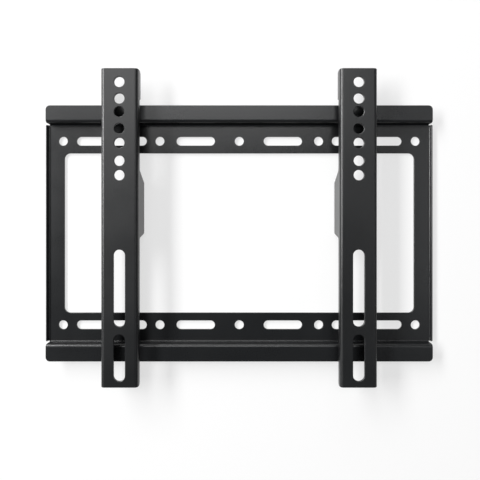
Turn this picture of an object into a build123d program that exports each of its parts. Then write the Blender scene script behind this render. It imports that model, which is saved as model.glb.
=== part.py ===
"""A fixed wall bracket for a flat screen: one folded wall plate and two folded arms that hang on it.

X runs to the right as seen from the room, Z runs up, and the wall is the plane Y = 0.
The origin is the middle of the wall plate's hole pattern, on the wall, and the room is towards -Y.
All lengths are in millimetres.
"""

import os

from build123d import *

# Wall plate: one steel sheet, folded into two hanging rails and two low side rims
plate_sheet = 1.5
plate_bend = 1.2
plate_width = 340.8
plate_height = 222.0
lip_setback = 2.6
lip_height = 15.0
lip_reach = 10.5
lip_corner = 3.7
rim_reach = 4.0
rim_corner = 1.0
rim_break = 0.6
rim_relief = 0.5
relief_gap = 0.3
window_side = 15.6
window_drop = 40.4
window_corner = 5.0

# Holes and slots for the wall screws, in one row along each rail
row_drop = 29.7
wall_hole = 8.0
end_hole_side = 14.5
middle_hole_spacing = 140.6
wall_slot_width = 7.8
inner_slot_length = 34.0
inner_slot_spacing = 77.2
outer_slot_length = 62.0
outer_slot_spacing = 225.8

# Arms: folded channels, mirror images of each other
screen_distance = 25.0
arm_spacing = 200.0
arm_sheet = 1.8
arm_bend = 1.4
arm_width = 31.4
arm_length = 266.8
arm_rise = 27.6
arm_hole = 8.7
arm_hole_drops = (11.5, 25.3, 36.4, 50.4, 62.4, 77.3, 89.3)
arm_slot_width = 9.6
upper_slot_length = 64.3
slot_web = 6.5
lower_slot_length = 39.1
slot_foot = 5.3
flange_corner = 3.0

# Inner flange of an arm: a low stiffener with a taller head, and a lobe that reaches through the window
stiffener_depth = 7.0
head_step = 3.0
head_length = 24.4
head_corner = 1.2
lobe_wall_gap = 0.5
lobe_drop = 84.4
lobe_height = 58.0
lobe_lead_in = 9.8
lobe_lead_out = 3.2
lobe_corner = 2.0

# Outer flange of an arm: it bears on both lips, and its hook goes down behind the upper one
hook_height = 12.0
hook_wall_gap = 2.0
finger_length = 10.0
finger_corner = 2.0
lip_play = 0.6
notch_corner = 0.3

# The outlines, the window and the arms' holes and slots have their cut edges broken on the room side
edge_break = 0.3
punch_width = 0.35
punch_depth = 0.2

# Places on the plate
plate_top = plate_height / 2
ledge_face = plate_top - lip_height
ledge_middle = ledge_face + plate_sheet / 2
lip_front = -lip_reach
lip_middle = lip_front + plate_sheet / 2
lip_back = lip_front + plate_sheet
back_middle = -plate_sheet / 2
plate_fold = plate_bend + plate_sheet / 2
flat_end = ledge_face - plate_bend
lip_length = plate_width - 2 * lip_setback
rim_end = ledge_face - rim_relief
rim_middle = plate_width / 2 - plate_sheet / 2
rim_fold_start = rim_middle - plate_fold
window_width = plate_width - 2 * window_side
window_height = plate_height - 2 * window_drop
row_spacing = plate_height - 2 * row_drop
end_hole_spacing = plate_width - 2 * end_hole_side

# Places on the right arm
arm_face = -screen_distance
arm_top = plate_top + arm_rise
arm_bottom = arm_top - arm_length
arm_middle = arm_spacing / 2
arm_inner = arm_middle - arm_width / 2
arm_outer = arm_middle + arm_width / 2
arm_fold = arm_bend + arm_sheet / 2
fold_end = arm_face + arm_bend + arm_sheet
lower_slot_middle = arm_bottom + slot_foot + lower_slot_length / 2
upper_slot_middle = lower_slot_middle + lower_slot_length / 2 + slot_web + upper_slot_length / 2

# The rails: a section through the middle of the sheet, from lip to lip, given its thickness.
# The flat between them is trimmed back to where the side rims begin to fold.
with BuildPart() as rails:
    with BuildSketch(Plane.YZ):
        with BuildLine():
            FilletPolyline(
                (lip_middle, plate_top),
                (lip_middle, ledge_middle),
                (back_middle, ledge_middle),
                (back_middle, -ledge_middle),
                (lip_middle, -ledge_middle),
                (lip_middle, -plate_top),
                radius=plate_fold,
            )
        trace(line_width=plate_sheet)
    extrude(amount=lip_length / 2, both=True)
    lip_ends = rails.edges().filter_by(Axis.Y).group_by(Axis.Z)
    fillet(lip_ends[0] + lip_ends[-1], lip_corner)
    chamfer(rails.edges().filter_by(Axis.X).group_by(Axis.Z)[-1].sort_by(Axis.Y)[0], edge_break)
    with BuildSketch(Plane.XZ):
        Rectangle(plate_width, 2 * flat_end)
        Rectangle(2 * rim_fold_start, 2 * flat_end, mode=Mode.SUBTRACT)
    extrude(amount=plate_sheet, mode=Mode.SUBTRACT)

# The side rims: the same flat with a low wall folded up along each side, which runs on past the ends of
# the rails' folds, with a cut at each corner that keeps the two folds apart.
with BuildPart() as rims:
    with BuildSketch(Plane.XY):
        with BuildLine():
            FilletPolyline(
                (-rim_middle, -rim_reach),
                (-rim_middle, back_middle),
                (rim_middle, back_middle),
                (rim_middle, -rim_reach),
                radius=plate_fold,
            )
        trace(line_width=plate_sheet)
    extrude(amount=rim_end, both=True)
    fillet(rims.edges().filter_by(Axis.X).group_by(Axis.Y)[0], rim_corner)
    chamfer(rims.edges().filter_by(Axis.Z).group_by(Axis.Y)[0], rim_break)
    with BuildSketch(Plane.XZ):
        Rectangle(lip_length + 2 * relief_gap, 2 * rim_end)
        Rectangle(lip_length + 2 * relief_gap, 2 * flat_end, mode=Mode.SUBTRACT)
    extrude(amount=rim_reach, mode=Mode.SUBTRACT)

# The wall plate is the two together, one folded sheet, with its window, holes and slots punched out.
with BuildPart() as wall_plate:
    add(rails.part)
    add(rims.part)
    with BuildSketch(Plane.XZ):
        RectangleRounded(window_width, window_height, window_corner)
        with GridLocations(end_hole_spacing, row_spacing, 2, 2):
            Circle(wall_hole / 2)
        with GridLocations(middle_hole_spacing, row_spacing, 2, 2):
            Circle(wall_hole / 2)
        with GridLocations(0, row_spacing, 1, 2):
            Circle(wall_hole / 2)
        with GridLocations(inner_slot_spacing, row_spacing, 2, 2):
            SlotOverall(inner_slot_length, wall_slot_width)
        with GridLocations(outer_slot_spacing, row_spacing, 2, 2):
            SlotOverall(outer_slot_length, wall_slot_width)
    extrude(amount=plate_sheet, mode=Mode.SUBTRACT)
    plate_front = wall_plate.faces().sort_by(SortBy.AREA)[-2:].sort_by(Axis.Y)[0]
    window_edges = plate_front.inner_wires().sort_by(SortBy.LENGTH)[-1].edges()
    chamfer(window_edges, punch_width, punch_depth, reference=plate_front)
wall_plate.part.label = "wall_plate"

# The right arm: the face and its two folds, then each flange with its own outline seen from the side.
with BuildPart() as right_arm:
    with BuildSketch(Plane.XY.offset(arm_bottom)):
        with BuildLine():
            inner_fold = JernArc((arm_inner + arm_sheet / 2, fold_end), (0, -1), arm_fold, 90)
            face_line = Line(inner_fold @ 1, (arm_outer - arm_sheet / 2 - arm_fold, arm_face + arm_sheet / 2))
            JernArc(face_line @ 1, face_line % 1, arm_fold, 90)
        trace(line_width=arm_sheet)
    extrude(amount=arm_length)

    stiffener_back = arm_face + stiffener_depth
    head_back = stiffener_back + head_step
    head_bottom = arm_top - head_length
    lobe_back = -lobe_wall_gap
    lobe_top = arm_top - lobe_drop
    lobe_bottom = lobe_top - lobe_height
    with BuildSketch(Plane.YZ.offset(arm_inner)):
        with BuildLine():
            outline = FilletPolyline(
                (fold_end, arm_top),
                (head_back, arm_top),
                (head_back, head_bottom),
                (stiffener_back, head_bottom),
                (stiffener_back, lobe_top),
                (lobe_back, lobe_top - lobe_lead_in),
                (lobe_back, lobe_bottom + lobe_lead_out),
                (stiffener_back, lobe_bottom),
                (stiffener_back, arm_bottom),
                (fold_end, arm_bottom),
                radius=(
                    flange_corner,
                    head_corner,
                    head_corner,
                    lobe_corner,
                    lobe_corner,
                    lobe_corner,
                    lobe_corner,
                    flange_corner,
                ),
            )
            Line(outline @ 1, outline @ 0)
        make_face()
    extrude(amount=arm_sheet)

    finger_front = lip_back + lip_play
    hook_back = -hook_wall_gap
    finger_bottom = plate_top - finger_length
    with BuildSketch(Plane.YZ.offset(arm_outer - arm_sheet)):
        with BuildLine():
            outline = FilletPolyline(
                (fold_end, arm_top),
                (lip_front, arm_top),
                (hook_back, plate_top + hook_height),
                (hook_back, finger_bottom),
                (finger_front, finger_bottom),
                (finger_front, plate_top),
                (lip_front, plate_top),
                (lip_front, arm_bottom),
                (fold_end, arm_bottom),
                radius=(
                    flange_corner,
                    flange_corner,
                    finger_corner,
                    finger_corner,
                    notch_corner,
                    notch_corner,
                    flange_corner,
                ),
            )
            Line(outline @ 1, outline @ 0)
        make_face()
    extrude(amount=arm_sheet)

    with BuildSketch(Plane.XZ.offset(screen_distance)):
        with Locations(*[(arm_middle, arm_top - drop) for drop in arm_hole_drops]):
            Circle(arm_hole / 2)
        with Locations((arm_middle, upper_slot_middle)):
            SlotOverall(upper_slot_length, arm_slot_width, rotation=90)
        with Locations((arm_middle, lower_slot_middle)):
            SlotOverall(lower_slot_length, arm_slot_width, rotation=90)
    extrude(amount=-arm_sheet, mode=Mode.SUBTRACT)
    front = right_arm.faces().sort_by(Axis.Y)[0]
    chamfer(front.inner_wires().edges(), punch_width, punch_depth, reference=front)
    top_edges = right_arm.edges().filter_by(Axis.X).group_by(Axis.Z)[-1].sort_by(Axis.Y)
    chamfer(top_edges[0], edge_break)
right_arm.part.label = "right_arm"

with BuildPart() as left_arm:
    mirror(right_arm.part, about=Plane.YZ)
left_arm.part.label = "left_arm"

os.makedirs("parts", exist_ok=True)
export_step(wall_plate.part, "parts/wall_plate.step")
export_step(left_arm.part, "parts/left_arm.step")
export_step(right_arm.part, "parts/right_arm.step")
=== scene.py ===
import math

import bpy
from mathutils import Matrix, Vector

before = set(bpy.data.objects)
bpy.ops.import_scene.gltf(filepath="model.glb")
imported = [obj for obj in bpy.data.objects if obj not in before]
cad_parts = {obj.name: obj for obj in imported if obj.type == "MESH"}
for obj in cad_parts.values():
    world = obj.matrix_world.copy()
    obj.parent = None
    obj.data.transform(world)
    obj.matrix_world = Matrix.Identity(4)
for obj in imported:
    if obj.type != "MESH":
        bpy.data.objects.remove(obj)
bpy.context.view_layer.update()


# Wall plate. One steel sheet, punched with its window, holes and slots, then folded into two
# hanging rails and two low side rims. It is powder coated black after folding, so the film also
# covers the cut edges, and it is screwed flat to the wall through its two rows of holes.
def add_node(tree, kind, place, **settings):
    node = tree.nodes.new(kind)
    node.location = place
    for name, value in settings.items():
        setattr(node, name, value)
    return node


def make_film_group():
    """Melted powder: a slightly uneven film with an orange-peel skin and a fine grain in it."""
    cloud_scale = 22.0
    grain_in_gloss = 0.35
    grain_in_skin = 0.25
    least_noise = 0.3
    most_noise = 0.7

    group = bpy.data.node_groups.new("powder_film", "ShaderNodeTree")
    for name, kind in (
        ("Colour", "NodeSocketColor"),
        ("Thin Colour", "NodeSocketColor"),
        ("Peel Scale", "NodeSocketFloat"),
        ("Grain Scale", "NodeSocketFloat"),
        ("Smoothest", "NodeSocketFloat"),
        ("Roughest", "NodeSocketFloat"),
    ):
        group.interface.new_socket(name, in_out="INPUT", socket_type=kind)
    for name, kind in (
        ("Colour", "NodeSocketColor"),
        ("Roughness", "NodeSocketFloat"),
        ("Height", "NodeSocketFloat"),
    ):
        group.interface.new_socket(name, in_out="OUTPUT", socket_type=kind)
    link = group.links.new
    inputs = add_node(group, "NodeGroupInput", (-900, 0))
    outputs = add_node(group, "NodeGroupOutput", (700, 0))
    place = add_node(group, "ShaderNodeTexCoord", (-900, -320))

    # Three sizes of noise: the waves of the skin, the powder's grain, and wide clouds
    peel = add_node(group, "ShaderNodeTexNoise", (-640, 200))
    peel.inputs["Detail"].default_value = 2.0
    peel.inputs["Roughness"].default_value = 0.45
    grain = add_node(group, "ShaderNodeTexNoise", (-640, -80))
    grain.inputs["Detail"].default_value = 1.0
    cloud = add_node(group, "ShaderNodeTexNoise", (-640, -360))
    cloud.inputs["Scale"].default_value = cloud_scale
    cloud.inputs["Detail"].default_value = 3.0
    for texture in (peel, grain, cloud):
        link(place.outputs["Object"], texture.inputs["Vector"])
    link(inputs.outputs["Peel Scale"], peel.inputs["Scale"])
    link(inputs.outputs["Grain Scale"], grain.inputs["Scale"])

    # The film's colour is paler where grain and cloud leave it thin
    thin = add_node(group, "ShaderNodeMath", (-360, -60), operation="MULTIPLY")
    link(grain.outputs["Fac"], thin.inputs[0])
    link(cloud.outputs["Fac"], thin.inputs[1])
    film = add_node(group, "ShaderNodeMix", (240, 160), data_type="RGBA")
    link(thin.outputs["Value"], film.inputs["Factor"])
    link(inputs.outputs["Colour"], film.inputs["A"])
    link(inputs.outputs["Thin Colour"], film.inputs["B"])
    link(film.outputs["Result"], outputs.inputs["Colour"])

    # Its gloss follows the clouds, with some of the grain
    uneven = add_node(group, "ShaderNodeMix", (-120, -200), data_type="FLOAT")
    uneven.inputs["Factor"].default_value = grain_in_gloss
    link(cloud.outputs["Fac"], uneven.inputs["A"])
    link(grain.outputs["Fac"], uneven.inputs["B"])
    gloss = add_node(group, "ShaderNodeMapRange", (240, -120))
    gloss.inputs["From Min"].default_value = least_noise
    gloss.inputs["From Max"].default_value = most_noise
    link(uneven.outputs["Result"], gloss.inputs["Value"])
    link(inputs.outputs["Smoothest"], gloss.inputs["To Min"])
    link(inputs.outputs["Roughest"], gloss.inputs["To Max"])
    link(gloss.outputs["Result"], outputs.inputs["Roughness"])

    # Its skin is the waves, with a little of the grain on them
    skin = add_node(group, "ShaderNodeMath", (240, -420), operation="MULTIPLY_ADD")
    skin.inputs[1].default_value = grain_in_skin
    link(grain.outputs["Fac"], skin.inputs[0])
    link(peel.outputs["Fac"], skin.inputs[2])
    link(skin.outputs["Value"], outputs.inputs["Height"])
    return group


powder_film = make_film_group()
film_ior = 1.6
peel_scale = 700.0
grain_scale = 3200.0
skin_strength = 0.5
skin_depth = 0.00006


def make_coat(name, colour, thin_colour, smoothest, roughest):
    """One batch of powder coat: its colour where it lies full and thin, and the range of its roughness."""
    coat = bpy.data.materials.new(name)
    coat.use_nodes = True
    tree = coat.node_tree
    shader = tree.nodes["Principled BSDF"]
    shader.inputs["IOR"].default_value = film_ior
    film = add_node(tree, "ShaderNodeGroup", (-620, 120), node_tree=powder_film)
    film.inputs["Colour"].default_value = (*colour, 1.0)
    film.inputs["Thin Colour"].default_value = (*thin_colour, 1.0)
    film.inputs["Peel Scale"].default_value = peel_scale
    film.inputs["Grain Scale"].default_value = grain_scale
    film.inputs["Smoothest"].default_value = smoothest
    film.inputs["Roughest"].default_value = roughest
    bump = add_node(tree, "ShaderNodeBump", (-320, -200))
    bump.inputs["Strength"].default_value = skin_strength
    bump.inputs["Distance"].default_value = skin_depth
    tree.links.new(film.outputs["Colour"], shader.inputs["Base Color"])
    tree.links.new(film.outputs["Roughness"], shader.inputs["Roughness"])
    tree.links.new(film.outputs["Height"], bump.inputs["Height"])
    tree.links.new(bump.outputs["Normal"], shader.inputs["Normal"])
    return coat


def dress(node_name, coat):
    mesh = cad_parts[node_name].data
    mesh.materials.clear()
    mesh.materials.append(coat)


plate_coat = make_coat(
    "plate_powder_coat",
    colour=(0.0040, 0.0043, 0.0048),
    thin_colour=(0.0076, 0.0083, 0.0092),
    smoothest=0.25,
    roughest=0.33,
)
dress("wall_plate", plate_coat)


# Arms. Each is a folded steel channel that hangs on the upper rail by the hook of its outer flange,
# with round holes and upright slots for the screen's screws. They get the same black powder coat,
# sprayed and baked as separate pieces.
arm_coat = make_coat(
    "arm_powder_coat",
    colour=(0.0023, 0.0026, 0.0029),
    thin_colour=(0.0048, 0.0053, 0.0060),
    smoothest=0.33,
    roughest=0.43,
)
dress("left_arm", arm_coat)
dress("right_arm", arm_coat)


# Backdrop. A very wide white board just behind the plate, in place of the wall that it is screwed to.
# It shows on the room side only and casts no shadow, so the back of the bracket can be lit and seen.
board_gap = 0.0006
board_side = 60.0
board_grey = 0.28
board_glow = 0.67


def mask_of_sight(tree):
    """1 for a ray that looks, directly, in gloss or through glass, and 0 for one that only carries light."""
    path = add_node(tree, "ShaderNodeLightPath", (-960, -60))
    gloss = add_node(tree, "ShaderNodeMath", (-720, -60), operation="MAXIMUM")
    tree.links.new(path.outputs["Is Camera Ray"], gloss.inputs[0])
    tree.links.new(path.outputs["Is Glossy Ray"], gloss.inputs[1])
    glass = add_node(tree, "ShaderNodeMath", (-540, -60), operation="MAXIMUM")
    tree.links.new(gloss.outputs["Value"], glass.inputs[0])
    tree.links.new(path.outputs["Is Transmission Ray"], glass.inputs[1])
    return glass.outputs["Value"]


def make_board_paint():
    """Matt grey that glows up to white where it is looked at, so that it keeps the bracket's shadow."""
    paint = bpy.data.materials.new("white_board")
    paint.use_nodes = True
    tree = paint.node_tree
    tree.nodes.remove(tree.nodes["Principled BSDF"])
    matt = add_node(tree, "ShaderNodeBsdfDiffuse", (-240, 120))
    matt.inputs["Color"].default_value = (board_grey, board_grey, board_grey, 1.0)
    level = add_node(tree, "ShaderNodeMath", (-400, -60), operation="MULTIPLY")
    level.inputs[1].default_value = board_glow
    tree.links.new(mask_of_sight(tree), level.inputs[0])
    glow = add_node(tree, "ShaderNodeEmission", (-240, -60))
    tree.links.new(level.outputs["Value"], glow.inputs["Strength"])
    bright = add_node(tree, "ShaderNodeAddShader", (-60, 60))
    tree.links.new(matt.outputs["BSDF"], bright.inputs[0])
    tree.links.new(glow.outputs["Emission"], bright.inputs[1])

    clear = add_node(tree, "ShaderNodeBsdfTransparent", (-60, -120))
    side = add_node(tree, "ShaderNodeNewGeometry", (-240, 320))
    one_sided = add_node(tree, "ShaderNodeMixShader", (140, 60))
    tree.links.new(side.outputs["Backfacing"], one_sided.inputs["Fac"])
    tree.links.new(bright.outputs["Shader"], one_sided.inputs[1])
    tree.links.new(clear.outputs["BSDF"], one_sided.inputs[2])
    tree.links.new(one_sided.outputs["Shader"], tree.nodes["Material Output"].inputs["Surface"])
    return paint


bpy.ops.object.select_all(action="DESELECT")
bpy.ops.mesh.primitive_plane_add(
    size=board_side,
    location=(0.0, board_gap, 0.0),
    rotation=(math.radians(90), 0.0, 0.0),
)
bpy.ops.object.transform_apply(location=True, rotation=True, scale=True)
backdrop = bpy.context.object
backdrop.name = "backdrop"
backdrop.data.materials.append(make_board_paint())
backdrop.visible_shadow = False


# Light. A tall strip box on the left gives the folds their bright lines, one box above and one in front
# fall off down the arms, a weak strip fills from the right, and a box and a strip light the back.
# The room around them gives little light of its own, and is seen as a plain grey.
lamp_distance = 2.4
room_light = 0.02
room_tone = 0.15
room_colour = (0.95, 1.0, 1.05)


def soft_box(name, azimuth, elevation, width, height, brightness):
    """A lamp aimed at the bracket: azimuth from the camera's side to the right, elevation up."""
    lamp = bpy.data.lights.new(name, "AREA")
    lamp.shape = "RECTANGLE"
    lamp.size = width
    lamp.size_y = height
    lamp.energy = brightness * math.pi * width * height
    box = bpy.data.objects.new(name, lamp)
    bpy.context.scene.collection.objects.link(box)
    turn = math.radians(azimuth)
    lift = math.radians(elevation)
    outward = Vector((math.sin(turn) * math.cos(lift), -math.cos(turn) * math.cos(lift), math.sin(lift)))
    box.location = outward * lamp_distance
    box.rotation_euler = (-outward).to_track_quat("-Z", "Y").to_euler()


soft_box("left_strip", azimuth=-51, elevation=24, width=0.5, height=2.6, brightness=26.5)
soft_box("top_box", azimuth=-15, elevation=68, width=1.7, height=0.7, brightness=4.0)
soft_box("front_box", azimuth=-3, elevation=23.5, width=1.5, height=0.74, brightness=3.5)
soft_box("right_strip", azimuth=32, elevation=2, width=0.55, height=1.3, brightness=1.3)
soft_box("rear_box", azimuth=150, elevation=34, width=1.4, height=1.4, brightness=5.0)
soft_box("rear_strip", azimuth=-140, elevation=12, width=0.5, height=2.2, brightness=10.0)

room = bpy.data.worlds.new("grey_room")
room.use_nodes = True
room_tree = room.node_tree
room_level = add_node(room_tree, "ShaderNodeMix", (-240, -60), data_type="FLOAT")
room_level.inputs["A"].default_value = room_light
room_level.inputs["B"].default_value = room_tone
room_tree.links.new(mask_of_sight(room_tree), room_level.inputs["Factor"])
background = room_tree.nodes["Background"]
background.inputs["Color"].default_value = (*room_colour, 1.0)
room_tree.links.new(room_level.outputs["Result"], background.inputs["Strength"])
bpy.context.scene.world = room


# Camera. It looks straight at the wall, a little above the middle of the plate. The picture is framed
# off the lens's axis, so the lens is shifted.
image_side = 480
focal_pixels = 455.7
axis_pixel = (243.0, 215.0)
sensor_width = 36.0
nearest_seen = 0.01
camera_place = (0.0033, -0.405, 0.01596)
lens = bpy.data.cameras.new("camera")
lens.sensor_width = sensor_width
lens.lens = focal_pixels / image_side * sensor_width
lens.shift_x = (image_side / 2 - axis_pixel[0]) / image_side
lens.shift_y = (axis_pixel[1] - image_side / 2) / image_side
lens.clip_start = nearest_seen
camera = bpy.data.objects.new("camera", lens)
bpy.context.scene.collection.objects.link(camera)
camera.location = camera_place
camera.rotation_euler = (math.radians(90), 0.0, 0.0)
bpy.context.scene.camera = camera
bpy.context.scene.view_settings.view_transform = "Standard"
